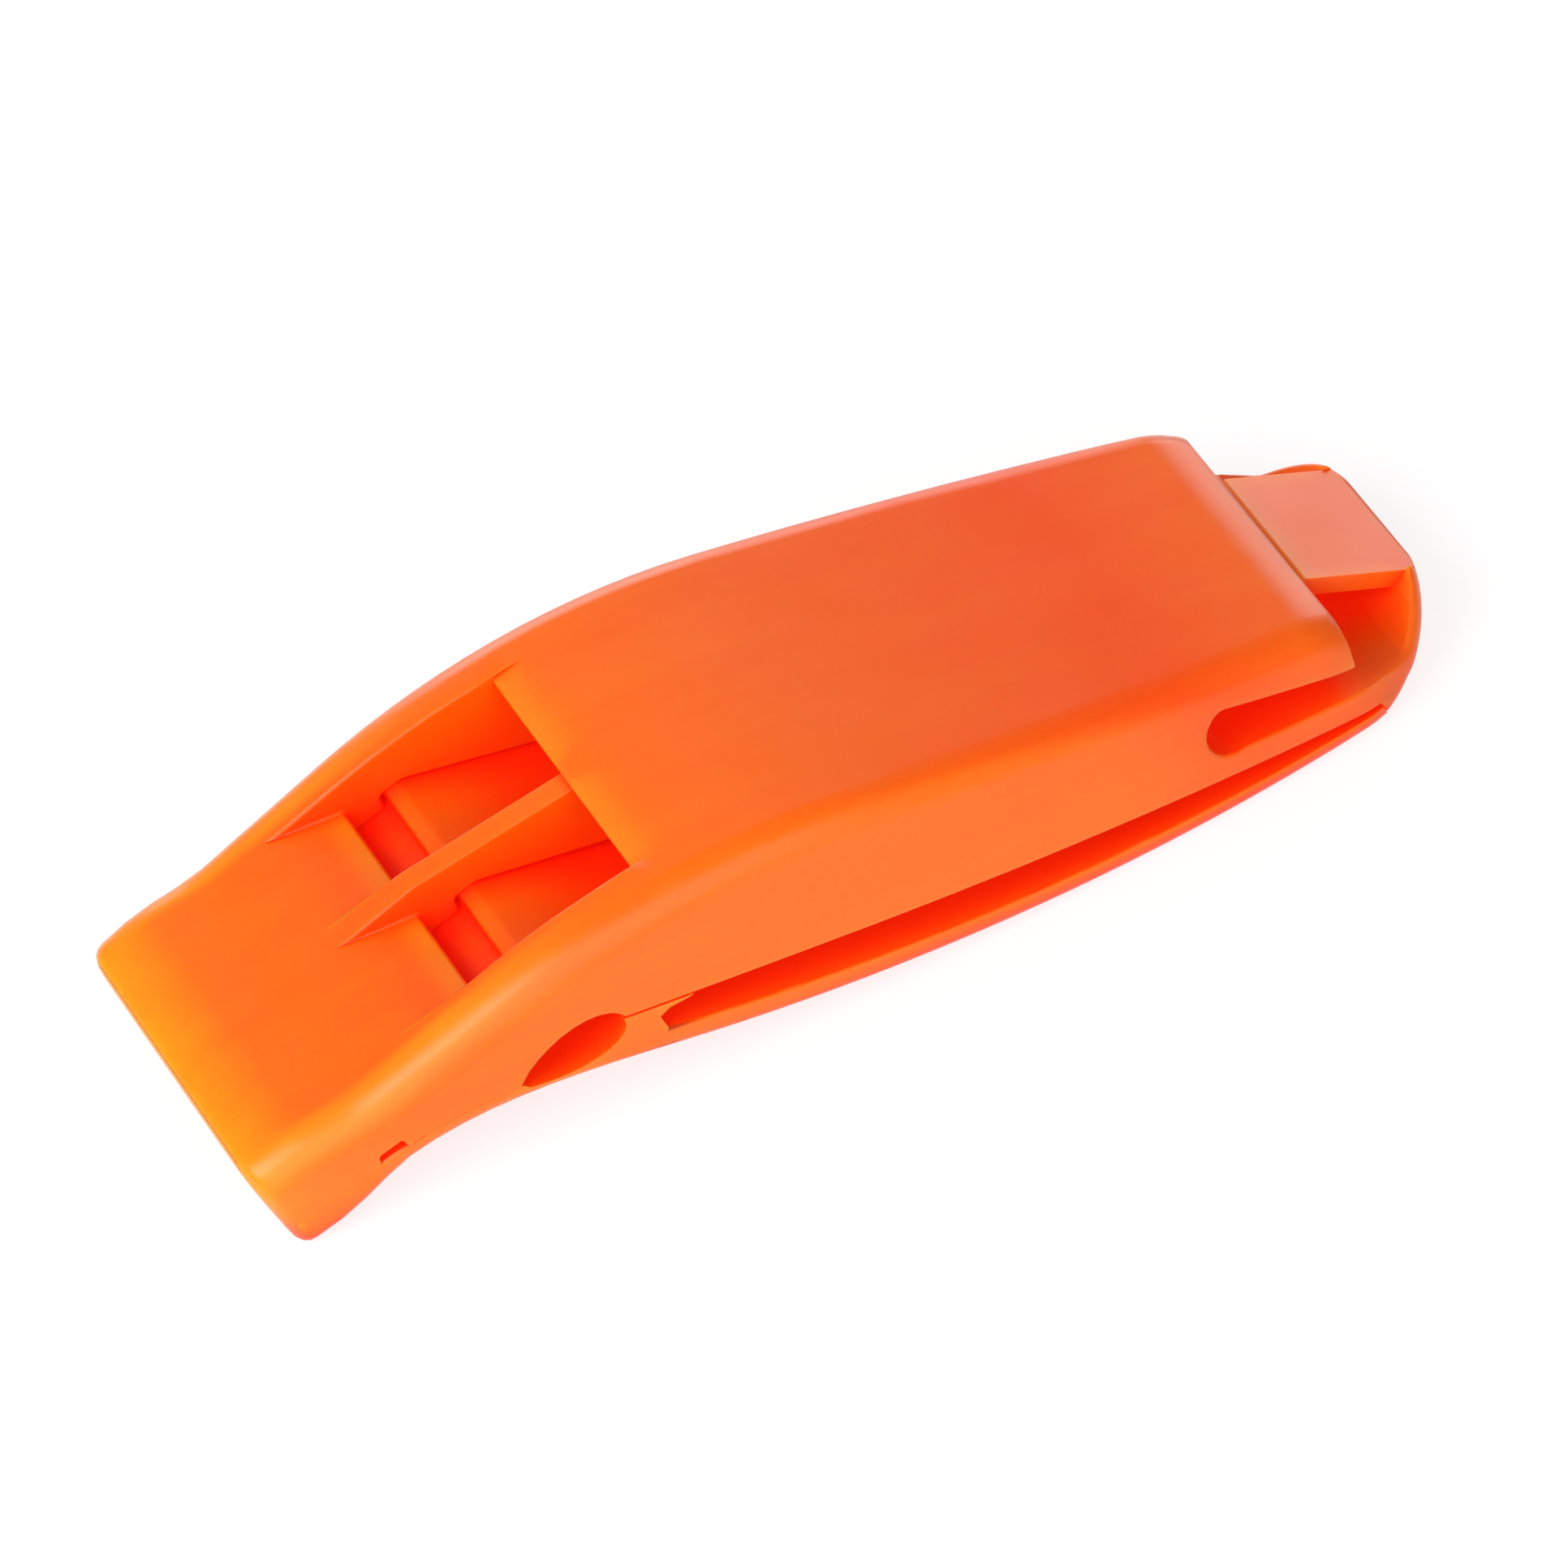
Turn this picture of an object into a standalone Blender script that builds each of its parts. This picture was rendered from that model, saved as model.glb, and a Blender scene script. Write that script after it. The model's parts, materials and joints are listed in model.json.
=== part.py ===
"""Moulded safety whistle: twin flue chambers, a lanyard eye at the tail and a sprung belt clip.

Every piece is drawn in the mould's own axes: x runs from the lips to the tail, y across and z up,
with z zero on the roof line at the lips. One empty then tips the whistle onto the floor.
"""

import math

import bmesh
import bpy
import numpy as np
from mathutils import Matrix, Vector

# Plan, in metres
LIP_WIDTH = 0.0226
BODY_WIDTH = 0.0247
TAIL_WIDTH = 0.0206
WIDEST_AT = 0.0350
REAR_FACE = 0.0656
LIP_CORNER = 0.0010
NOSE_REACH = 0.0056
NOSE_RUN = 0.0084
NOSE_SHOULDER = 0.0066
NOSE_LIFT = 0.0020

# Roof line: a straight mouthpiece, one long bend and a straight tail
MOUTH_RUN = 0.0166
MOUTH_RISE = math.radians(2.7)
BEND_RADIUS = 0.0440
TAIL_DROP = math.radians(28.5)
ROOF_CORNER = 0.0020
LIP_BEAD = 0.0009
BEAD_FLAT = 0.0025
BEAD_LENGTH = 0.0080
LIP_ROUND = 0.0006
REAR_BEVEL = 0.0022
REAR_DROP = 0.0008

# Underside of the body: a flat floor that slopes to the tail
BODY_DEPTH = 0.0082
FLOOR_DROP = math.radians(24.8)
FLOOR_THICKNESS = 0.0013
SIDE_WALL = 0.0022
SEAT_WALL = 0.0014
ROOF_THICKNESS = 0.0016
END_WALL = 0.0018
SEAT_DEPTH = 0.0006

# Mouthpiece and lower strip
WAIST_AT = 0.0075
WAIST_DEPTH = 0.0052
STRIP_THICKNESS = 0.0011
STRIP_CORNER = 0.0009

# Windways, windows and labium
WINDOW_SPAN = 0.0177
RIB_THICKNESS = 0.0015
RAMP_START = 0.0113
WINDOW_FRONT = 0.0159
WINDOW_LENGTH = 0.0109
WINDWAY_FLOOR = 0.0026
WINDWAY_DIP = 0.0005
DIP_START = 0.0080
WINDWAY_ENTRY = 0.0017
WINDWAY_EXIT = 0.0009
EXIT_LIP = 0.0006
LANGUID_LENGTH = 0.0033
LANGUID_WIDTH = 0.0011
LANGUID_TOP = 0.0020
LANGUID_STEP = 0.0002
LABIUM_EDGE = 0.0006
LABIUM_SET_DOWN = 0.0003
LABIUM_BEVEL = 0.0020
LABIUM_TAPER = 0.0050
RIB_SET_DOWN = 0.0010
INSERT_SETBACK = 0.0010
INSERT_COVER = 0.0008

# Small side slot in front of the clip post, a drop shape
SLOT_POINT = 0.0147
SLOT_LENGTH = 0.0068
SLOT_HEIGHT = 0.0036
SLOT_RISE = 0.0001
SLOT_SHARPNESS = 0.7
POST_THICKNESS = 0.0015
POST_FILLET = 0.0022
POST_FILLET_SHARE = 0.5

# Belt clip
CLIP_ROOT_GAP = 0.0021
CLIP_MID_GAP = 0.0027
CLIP_TIP_GAP = 0.0003
CLIP_WIDEST_SHARE = 0.27
CLIP_ROOT_THICKNESS = 0.0019
CLIP_TIP_THICKNESS = 0.0011
CLIP_TIP_SETBACK = 0.0012

# Lanyard eye and strap at the tail
EYE_LENGTH = 0.0100
EYE_ROOF_FRONT = 0.0025
EYE_ROOF_REAR = 0.0040
EYE_FLOOR = 0.0018
EYE_ROUND = 0.0017
STRAP_WIDTH = 0.0098
STRAP_STEP = 0.0001
STRAP_RUN = 0.0048
STRAP_THICKNESS = 0.0017
REAR_TILT = 0.0012
STRAP_ROOT = 0.0015
STRAP_SINK = 0.0008
REAR_STEP = 0.0002
BAR_CORNER = 0.0006
BAR_EASE = 0.0020
NOSE_THICKNESS = 0.0014

# Parting notch low on each side of the mouthpiece
PARTING_NOTCH_AT = 0.0064
PARTING_NOTCH_LENGTH = 0.0016
PARTING_NOTCH_HEIGHT = 0.0007
PARTING_NOTCH_DEPTH = 0.0007

# Fits and faceting
SEAM = 0.0003
HINGE_GAP = 0.0003
OVERSHOOT = 0.0100
CORNER_LIMIT = 0.98
SHARP_EDGE = math.radians(35)
STATIONS = 38
CORNER_STEPS = 4
LINE_STEPS = 14
FINE_STEPS = 24
SEARCH_STEPS = 400

# Finish: orange moulded plastic, a little deeper inside
ORANGE = (0.90, 0.16, 0.02)
DEEP_ORANGE = (0.86, 0.12, 0.012)
GLOSS = 0.35
SATIN = 0.40

# Worked out from the sizes above
WINDOW_REAR = WINDOW_FRONT + WINDOW_LENGTH
SLOT_END = SLOT_POINT + SLOT_LENGTH
CLIP_ROOT = SLOT_END + POST_THICKNESS
CLIP_TIP = REAR_FACE - CLIP_TIP_SETBACK
NOSE = REAR_FACE + NOSE_REACH
EYE_FRONT = REAR_FACE - EYE_LENGTH
CHAMBER_END = EYE_FRONT - END_WALL
INSERT_END = WINDOW_REAR + INSERT_COVER
LANGUID_END = WINDOW_FRONT + LANGUID_LENGTH
LANGUID_START = LANGUID_END - LANGUID_WIDTH
FLOOR_END = CHAMBER_END + SEAT_DEPTH
NOSE_ROUND = NOSE_THICKNESS / 2


def smooth(value):
    """Eases a share from 0 to 1 with level ends."""
    share = min(max(value, 0), 1)
    return share * share * (3 - 2 * share)


def round_off(radius, into):
    """How far an edge of this radius has fallen away at a depth into its rounding."""
    return radius - math.sqrt(max(radius ** 2 - into ** 2, 0))


def bead(x):
    """How far the lip stands proud of the mouthpiece, above and below."""
    return LIP_BEAD * (1 - smooth((x - BEAD_FLAT) / (BEAD_LENGTH - BEAD_FLAT)))


def roof_line(x):
    """Height of the roof without the lip bead: straight, bend, straight."""
    if x <= MOUTH_RUN:
        return x * math.tan(MOUTH_RISE)
    start = MOUTH_RUN * math.tan(MOUTH_RISE)
    bend_end = MOUTH_RUN + BEND_RADIUS * (math.sin(MOUTH_RISE) + math.sin(TAIL_DROP))
    sine = math.sin(MOUTH_RISE) - (min(x, bend_end) - MOUTH_RUN) / BEND_RADIUS
    height = start + BEND_RADIUS * (math.sqrt(1 - sine * sine) - math.cos(MOUTH_RISE))
    return height - max(x - bend_end, 0) * math.tan(TAIL_DROP)


def floor_line(x):
    """Height of the flat underside of the body, below which the two side slots lie."""
    return roof_line(WINDOW_REAR) - BODY_DEPTH - (x - WINDOW_REAR) * math.tan(FLOOR_DROP)


def half_width(x):
    """Half the plan width, widest in the body, with square corners at both ends."""
    ahead = (LIP_WIDTH - BODY_WIDTH) / 2 * ((WIDEST_AT - x) / WIDEST_AT) ** 2
    behind = (TAIL_WIDTH - BODY_WIDTH) / 2 * ((x - WIDEST_AT) / (REAR_FACE - WIDEST_AT)) ** 2
    return BODY_WIDTH / 2 + (ahead if x < WIDEST_AT else behind)


def rounded_width(x):
    """Half the plan width with the corners rounded off at the lips and at the nose."""
    lip = round_off(LIP_CORNER, max(LIP_CORNER - x, 0))
    nose = NOSE_SHOULDER * round_off(1, max(x - (NOSE - NOSE_RUN), 0) / NOSE_RUN)
    return half_width(x) - lip - nose


def clip_gap(x):
    """Height of the slot between the body and the clip arm."""
    share = (x - CLIP_ROOT) / (CLIP_TIP - CLIP_ROOT)
    if share < CLIP_WIDEST_SHARE:
        away = (CLIP_WIDEST_SHARE - share) / CLIP_WIDEST_SHARE
        return CLIP_MID_GAP - (CLIP_MID_GAP - CLIP_ROOT_GAP) * away ** 2
    away = (share - CLIP_WIDEST_SHARE) / (1 - CLIP_WIDEST_SHARE)
    return CLIP_MID_GAP - (CLIP_MID_GAP - CLIP_TIP_GAP) * away ** 2


def clip_top(x):
    """Height of the clip arm's inner face."""
    return floor_line(x) - clip_gap(x)


def clip_under(x):
    """Height of the clip arm's outer face, which tapers towards the tip."""
    share = (x - CLIP_ROOT) / (CLIP_TIP - CLIP_ROOT)
    thickness = CLIP_ROOT_THICKNESS + (CLIP_TIP_THICKNESS - CLIP_ROOT_THICKNESS) * share
    return clip_top(x) - thickness


def under_line(x):
    """Height of the lowest outline without the lip bead: waist, throat, clip and nose."""
    waist = -WAIST_DEPTH + roof_line(WAIST_AT)
    if x <= WAIST_AT:
        return waist
    if x >= CLIP_TIP:
        return clip_under(CLIP_TIP) + NOSE_LIFT * ((x - CLIP_TIP) / (NOSE - CLIP_TIP)) ** 2
    if x >= CLIP_ROOT:
        return clip_under(x)
    run = CLIP_ROOT - WAIST_AT
    share = (x - WAIST_AT) / run
    end_slope = (clip_under(CLIP_ROOT + SEAM) - clip_under(CLIP_ROOT)) / SEAM
    drop = clip_under(CLIP_ROOT) - waist
    return waist + drop * smooth(share) + end_slope * run * (share ** 3 - share ** 2)


def strap_line(x):
    """Height of the top of the lanyard strap, which falls straight from the rear face to the nose."""
    start = roof_line(REAR_FACE) - REAR_DROP - STRAP_STEP
    fall = start - nose_top(REAR_FACE + STRAP_RUN)
    return start - fall * (x - REAR_FACE) / STRAP_RUN


def nose_top(x):
    """Height of the top of the bar that ends the lanyard eye."""
    return under_line(x) + NOSE_THICKNESS


def outer_top(x):
    """Height of the outer outline from lips to nose."""
    if x > REAR_FACE:
        return eye_floor(x)
    into = max(x - (REAR_FACE - REAR_BEVEL), 0)
    return roof_line(x) + bead(x) - REAR_DROP * (into / REAR_BEVEL) ** 2


def flue_side(x):
    """Half the width across both flues: as wide as the windows, then out to the side walls."""
    window = WINDOW_SPAN / 2
    chamber = half_width(x) - SIDE_WALL
    return window + (chamber - window) * smooth((x - WINDOW_REAR) / LABIUM_TAPER)


def windway_roof(x):
    """Height of the windway's roof, which closes in towards its exit."""
    share = x / WINDOW_FRONT
    return -WINDWAY_FLOOR + WINDWAY_ENTRY + (WINDWAY_EXIT - WINDWAY_ENTRY) * share


def inner_floor(x):
    """Height of the inside floor: windway, languid ridge, slope and chamber floor."""
    if x <= LANGUID_START:
        return -WINDWAY_FLOOR - WINDWAY_DIP * smooth((x - DIP_START) / (WINDOW_FRONT - DIP_START))
    chamber = floor_line(max(x, INSERT_END)) + FLOOR_THICKNESS / math.cos(FLOOR_DROP)
    share = min(max(x - LANGUID_END, 0) / (INSERT_END - LANGUID_END), 1)
    return -LANGUID_TOP + (chamber + LANGUID_TOP) * share


def insert_under(x):
    """Height of the windway insert's underside, flush with the body behind the small slot."""
    return parting_line(x) + SEAM * (1 - smooth((x - SLOT_POINT) / SLOT_LENGTH))


def parting_line(x):
    """Height of the joint between the upper moulding and the lower strip."""
    if x <= SLOT_POINT:
        return under_line(x) + STRIP_THICKNESS
    if x >= SLOT_END:
        return floor_line(x)
    share = (x - SLOT_POINT) / SLOT_LENGTH
    front = under_line(SLOT_POINT) + STRIP_THICKNESS
    return front + (floor_line(SLOT_END) - front) * share


def eye_ceiling(x):
    """Height of the roof of the lanyard eye."""
    share = (x - EYE_FRONT) / EYE_LENGTH
    return roof_line(x) - EYE_ROOF_FRONT - (EYE_ROOF_REAR - EYE_ROOF_FRONT) * share


def eye_floor(x):
    """Height of the floor of the lanyard eye."""
    return max(floor_line(x) + EYE_FLOOR, nose_top(x))


def rounded_section(x, half, low, high, low_corner, high_corner):
    """One cross-section as points round a rectangle with rounded corners."""
    most = min(half, (high - low) / 2) * CORNER_LIMIT
    corners = (
        (1, high, min(high_corner, most), 0),
        (-1, high, min(high_corner, most), 90),
        (-1, low, min(low_corner, most), 180),
        (1, low, min(low_corner, most), 270),
    )
    points = []
    for side, height, radius, first in corners:
        centre_y = side * (half - radius)
        centre_z = height - radius if first < 180 else height + radius
        for step in range(CORNER_STEPS + 1):
            angle = math.radians(first + 90 * step / CORNER_STEPS)
            y = centre_y + radius * math.cos(angle)
            points.append(Vector((x, y, centre_z + radius * math.sin(angle))))
    return points


def square_section(x, left, right, low, high):
    """One cross-section as the four corners of a rectangle."""
    corners = ((right, high), (left, high), (left, low), (right, low))
    return [Vector((x, y, z)) for y, z in corners]


def new_object(name, mesh_builder, parent):
    """Adds a mesh object under the given empty."""
    mesh = bpy.data.meshes.new(name)
    bmesh.ops.recalc_face_normals(mesh_builder, faces=mesh_builder.faces)
    mesh_builder.to_mesh(mesh)
    mesh_builder.free()
    built = bpy.data.objects.new(name, mesh)
    bpy.context.scene.collection.objects.link(built)
    built.parent = parent
    return built


def loft(name, sections, parent):
    """A closed body through cross-sections that all have the same number of points."""
    builder = bmesh.new()
    rings = [[builder.verts.new(point) for point in section] for section in sections]
    count = len(rings[0])
    for ring, following in zip(rings, rings[1:]):
        for index in range(count):
            after = (index + 1) % count
            builder.faces.new((ring[index], ring[after], following[after], following[index]))
    builder.faces.new(rings[0])
    builder.faces.new(rings[-1])
    return new_object(name, builder, parent)


def prism(name, outline, left, right, parent):
    """A closed body with the given side outline, straight across from left to right."""
    builder = bmesh.new()
    base = builder.faces.new([builder.verts.new((x, left, z)) for x, z in outline])
    swept = bmesh.ops.extrude_face_region(builder, geom=[base])
    moved = [item for item in swept["geom"] if isinstance(item, bmesh.types.BMVert)]
    bmesh.ops.translate(builder, verts=moved, vec=(0, right - left, 0))
    return new_object(name, builder, parent)


def shape_with(target, helper, operation):
    """Cuts a piece with a hidden helper, joins the two, or keeps only what lies inside both."""
    helper.hide_render = True
    helper.display_type = "WIRE"
    step = target.modifiers.new(helper.name, "BOOLEAN")
    step.operation = operation
    step.object = helper


def plastic(name, colour, roughness):
    """A moulded plastic finish."""
    finish = bpy.data.materials.new(name)
    finish.use_nodes = True
    shader = finish.node_tree.nodes["Principled BSDF"]
    shader.inputs["Base Color"].default_value = (*colour, 1)
    shader.inputs["Roughness"].default_value = roughness
    shader.inputs["Metallic"].default_value = 0
    return finish


def quarter_turn():
    """Sines of a quarter turn taken in equal steps."""
    return [math.sin(math.pi / 2 * step / CORNER_STEPS) for step in range(CORNER_STEPS + 1)]


def along(first, last, count):
    """Evenly spaced places from first to last."""
    return [float(place) for place in np.linspace(first, last, count)]


def stations():
    """Places along the whistle where the outer form is measured, closer where it turns."""
    lip = [LIP_CORNER * (1 - rest) for rest in reversed(quarter_turn())]
    body = along(LIP_CORNER, REAR_FACE - REAR_BEVEL, STATIONS)
    bevel = along(REAR_FACE - REAR_BEVEL, REAR_FACE, CORNER_STEPS + 1)
    bar = along(REAR_FACE + REAR_STEP, NOSE - NOSE_ROUND, LINE_STEPS)
    nose = [NOSE - NOSE_ROUND * (1 - rest) for rest in quarter_turn()]
    return [*lip, *body[1:], *bevel[1:], *bar, *nose[1:-1]]


def floor_stations(last):
    """Places along the inside floor, with one on each side of the languid's step."""
    front = along(INSERT_SETBACK, LANGUID_START, LINE_STEPS)
    slope = along(LANGUID_END, INSERT_END - SEAM, CORNER_STEPS)
    rear = along(INSERT_END, last, LINE_STEPS) if last > INSERT_END else []
    return [*front, LANGUID_START + LANGUID_STEP, *slope, *rear]


def outer_section(x):
    """The whistle's outer form at one station, drawn in at the lip and at the nose."""
    drawn_in = round_off(LIP_ROUND, max(LIP_ROUND - x, 0))
    low = under_line(x) - bead(x) + drawn_in
    high = outer_top(x) - drawn_in
    if x > NOSE - NOSE_ROUND:
        middle = (low + high) / 2
        reach = NOSE_ROUND - round_off(NOSE_ROUND, x - (NOSE - NOSE_ROUND))
        low = max(low, middle - reach)
        high = min(high, middle + reach)
    eased = BAR_CORNER * min((x - REAR_FACE) / BAR_EASE, 1)
    corner = eased if x > REAR_FACE else ROOF_CORNER
    return rounded_section(x, rounded_width(x), low, high, STRIP_CORNER, corner)


def outer_form(name, parent):
    """The whole outer form, from which each outside piece takes its share."""
    return loft(name, [outer_section(x) for x in stations()], parent)


def slot_outline():
    """The drop-shaped small slot: pointed at the front, round at the post."""
    front = parting_line(SLOT_POINT)
    rear = parting_line(SLOT_END)
    points = []
    for step in range(FINE_STEPS):
        angle = 2 * math.pi * step / FINE_STEPS
        share = (1 - math.cos(angle)) / 2
        swell = math.sin(angle) * abs(math.sin(angle / 2)) ** SLOT_SHARPNESS
        height = front + (rear - front) * share + SLOT_RISE * math.sin(math.pi * share)
        points.append((SLOT_POINT + SLOT_LENGTH * share, height + SLOT_HEIGHT / 2 * swell))
    return points


def eye_outline():
    """Side view of the lanyard eye, open to the rear, with the slope of the rear face above it."""
    first = EYE_FRONT + EYE_ROUND
    middle = (eye_ceiling(first) + eye_floor(first)) / 2
    half = (eye_ceiling(first) - eye_floor(first)) / 2
    turns = along(0, math.pi, 2 * CORNER_STEPS + 1)
    front = [(first - EYE_ROUND * math.sin(turn), middle + half * math.cos(turn)) for turn in turns]
    behind = REAR_FACE + REAR_STEP
    floor = [(x, eye_floor(x)) for x in along(first, behind, LINE_STEPS)[1:]]
    top = roof_line(REAR_FACE)
    slope = REAR_TILT * (top - eye_ceiling(REAR_FACE)) / (top - eye_floor(REAR_FACE))
    rear = [(behind, top), (REAR_FACE, top), (REAR_FACE - slope, eye_ceiling(REAR_FACE - slope))]
    return [*front, *floor, *rear]


def strap_outline():
    """Side view of the lanyard strap, with its ends sunk into the rear face and into the bar."""
    last = REAR_FACE + STRAP_RUN + SEAM
    places = along(REAR_FACE, NOSE, SEARCH_STEPS)
    meet = next(x for x in places if strap_line(x + STRAP_THICKNESS) < eye_floor(x))
    root = REAR_FACE - STRAP_ROOT
    top = [(REAR_FACE, strap_line(REAR_FACE)), (last, strap_line(last))]
    foot = [(last, eye_floor(last) - STRAP_SINK), (meet, eye_floor(meet) - STRAP_SINK)]
    under = [(x, strap_line(x + STRAP_THICKNESS)) for x in along(meet, REAR_FACE, CORNER_STEPS)]
    end = [(root, strap_line(REAR_FACE + STRAP_THICKNESS)), (root, strap_line(REAR_FACE))]
    return [*top, *foot, *under, *end]


def strap_flat(frame):
    """Takes the nose down to the line of the strap, out to its edge."""
    first = REAR_FACE + STRAP_RUN - SEAM
    last = NOSE + OVERSHOOT
    line = [(x, strap_line(x)) for x in (first, last)]
    outline = [*line, (last, OVERSHOOT), (first, OVERSHOOT)]
    return prism("strap_flat", outline, -STRAP_WIDTH / 2, STRAP_WIDTH / 2, frame)


def resting_place():
    """The tip and shift that set the whistle down on its lip and on the clip."""
    places = stations()
    low = np.array([min(point.z for point in outer_section(x)) for x in places])
    x = np.array(places)
    lip = x < WAIST_AT
    belly = (x > CLIP_ROOT) & (x < CLIP_TIP)
    slopes = (low[belly][None, :] - low[lip][:, None]) / (x[belly][None, :] - x[lip][:, None])
    tip = -math.atan(slopes.min(axis=1).max())
    corners = [point for place in places for point in outer_section(place)]
    across = [point.x * math.cos(tip) - point.z * math.sin(tip) for point in corners]
    height = [point.x * math.sin(tip) + point.z * math.cos(tip) for point in corners]
    return tip, Vector((-(min(across) + max(across)) / 2, 0, -min(height)))


def empty(name, parent, location):
    """A placed empty."""
    made = bpy.data.objects.new(name, None)
    bpy.context.scene.collection.objects.link(made)
    made.parent = parent
    made.location = location
    return made


def body_shell(frame, slot):
    """Upper moulding: roof, walls, septum, windows, rear wall and lanyard eye."""
    shell = outer_form("body_shell", frame)
    edge = [(x, parting_line(x) + SEAM / 2) for x in along(-OVERSHOOT, SLOT_POINT, LINE_STEPS)]
    edge += [(SLOT_END, floor_line(SLOT_END)), (CLIP_TIP + SEAM, floor_line(CLIP_TIP + SEAM))]
    edge += [(CLIP_TIP + SEAM, floor_line(NOSE) - OVERSHOOT)]
    edge += [(NOSE + OVERSHOOT, floor_line(NOSE) - OVERSHOOT), (NOSE + OVERSHOOT, OVERSHOOT)]
    upper = prism("upper_region", [*edge, (-OVERSHOOT, OVERSHOOT)], -BODY_WIDTH, BODY_WIDTH, frame)
    shape_with(shell, upper, "INTERSECT")
    for side in (-1, 1):
        shape_with(shell, flue_cavity(side, frame), "DIFFERENCE")
        shape_with(shell, window_cut(side, frame), "DIFFERENCE")
        shape_with(shell, parting_notch(side, frame), "DIFFERENCE")
    shape_with(shell, seat_cavity(frame), "DIFFERENCE")
    shape_with(shell, rib_cut(frame), "DIFFERENCE")
    shape_with(shell, labium_cut(frame), "DIFFERENCE")
    shape_with(shell, prism("eye_cut", eye_outline(), -BODY_WIDTH, BODY_WIDTH, frame), "DIFFERENCE")
    strap = prism("strap", strap_outline(), -STRAP_WIDTH / 2, STRAP_WIDTH / 2, frame)
    shape_with(shell, strap, "UNION")
    shape_with(shell, strap_flat(frame), "DIFFERENCE")
    shape_with(shell, slot, "DIFFERENCE")
    return shell


def flue_cavity(side, frame):
    """One windway with the chamber behind it."""
    sections = []
    windway = along(-SEAM, WINDOW_FRONT, LINE_STEPS)
    chamber = [WINDOW_FRONT + SEAM, *along(WINDOW_REAR, CHAMBER_END, LINE_STEPS)]
    for x in [*windway, *chamber]:
        if x <= WINDOW_FRONT:
            high = windway_roof(x)
        else:
            share = smooth((x - WINDOW_REAR) / LABIUM_TAPER)
            high = roof_line(x) - LABIUM_EDGE - LABIUM_SET_DOWN - (
                ROOF_THICKNESS - LABIUM_EDGE - LABIUM_SET_DOWN) * share
        near = RIB_THICKNESS / 2
        far = flue_side(x)
        low = inner_floor(x)
        left, right = (near, far) if side > 0 else (-far, -near)
        sections.append(square_section(x, left, right, low, high))
    return loft("flue_cavity_right" if side > 0 else "flue_cavity_left", sections, frame)


def seat_cavity(frame):
    """The open underside that takes the windway insert and the chamber floor."""
    sections = []
    for x in floor_stations(FLOOR_END - SEAM):
        place = x + SEAM if x > LANGUID_START + LANGUID_STEP else x - SEAM
        half = half_width(x) - SEAT_WALL
        high = inner_floor(x) + SEAM
        sections.append(square_section(place, -half, half, floor_line(NOSE), high))
    return loft("seat_cavity", sections, frame)


def window_cut(side, frame):
    """One window with the ramp that leads down to it."""
    exit_roof = windway_roof(WINDOW_FRONT)
    inside = exit_roof - WINDWAY_EXIT / 2
    ramp_end = exit_roof + EXIT_LIP
    rise = (roof_line(RAMP_START) - ramp_end) / (WINDOW_FRONT - RAMP_START)
    outline = [
        (WINDOW_FRONT - (OVERSHOOT - ramp_end) / rise, OVERSHOOT),
        (WINDOW_FRONT, ramp_end),
        (WINDOW_FRONT, inside),
        (WINDOW_REAR, inside + roof_line(WINDOW_REAR) - roof_line(WINDOW_FRONT)),
        (WINDOW_REAR, OVERSHOOT),
    ]
    near = side * RIB_THICKNESS / 2
    far = side * WINDOW_SPAN / 2
    name = "window_cut_right" if side > 0 else "window_cut_left"
    return prism(name, outline, min(near, far), max(near, far), frame)


def rib_cut(frame):
    """Lowers the rib between the windows towards the labium."""
    outline = [
        (WINDOW_FRONT, roof_line(WINDOW_FRONT)),
        (WINDOW_REAR, roof_line(WINDOW_REAR) - RIB_SET_DOWN),
        (WINDOW_REAR, OVERSHOOT),
        (WINDOW_FRONT, OVERSHOOT),
    ]
    return prism("rib_cut", outline, -RIB_THICKNESS, RIB_THICKNESS, frame)


def labium_cut(frame):
    """The shallow bevel of the labium behind both windows."""
    bevel_end = WINDOW_REAR + LABIUM_BEVEL
    edge = roof_line(WINDOW_REAR) - LABIUM_SET_DOWN
    past = SEAM * (roof_line(bevel_end) - edge) / LABIUM_BEVEL
    outline = [
        (WINDOW_REAR - SEAM, edge - past),
        (bevel_end + SEAM, roof_line(bevel_end) + past),
        (bevel_end + SEAM, OVERSHOOT),
        (WINDOW_REAR - SEAM, OVERSHOOT),
    ]
    return prism("labium_cut", outline, -WINDOW_SPAN / 2, WINDOW_SPAN / 2, frame)


def parting_notch(side, frame):
    """The small notch at the joint low on the side of the mouthpiece."""
    first = PARTING_NOTCH_AT
    last = first + PARTING_NOTCH_LENGTH
    low = parting_line(first) - PARTING_NOTCH_HEIGHT
    high = parting_line(first) + PARTING_NOTCH_HEIGHT
    outline = [(first, low), (last, low), (last, high), (first, high)]
    near = side * (half_width(first) - PARTING_NOTCH_DEPTH)
    far = side * BODY_WIDTH
    name = "parting_notch_right" if side > 0 else "parting_notch_left"
    return prism(name, outline, min(near, far), max(near, far), frame)


def small_slot(frame):
    """The drop-shaped slot through both sides in front of the clip post."""
    return prism("small_slot", slot_outline(), -BODY_WIDTH, BODY_WIDTH, frame)


def windway_insert(frame, slot):
    """Block in the mouthpiece: floor of both windways, the languid ridge and its slope."""
    sections = []
    for x in floor_stations(INSERT_END - SEAM):
        half = half_width(x) - SEAT_WALL - SEAM
        sections.append(square_section(x, -half, half, insert_under(x), inner_floor(x)))
    insert = loft("windway_insert", sections, frame)
    shape_with(insert, slot, "DIFFERENCE")
    return insert


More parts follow.
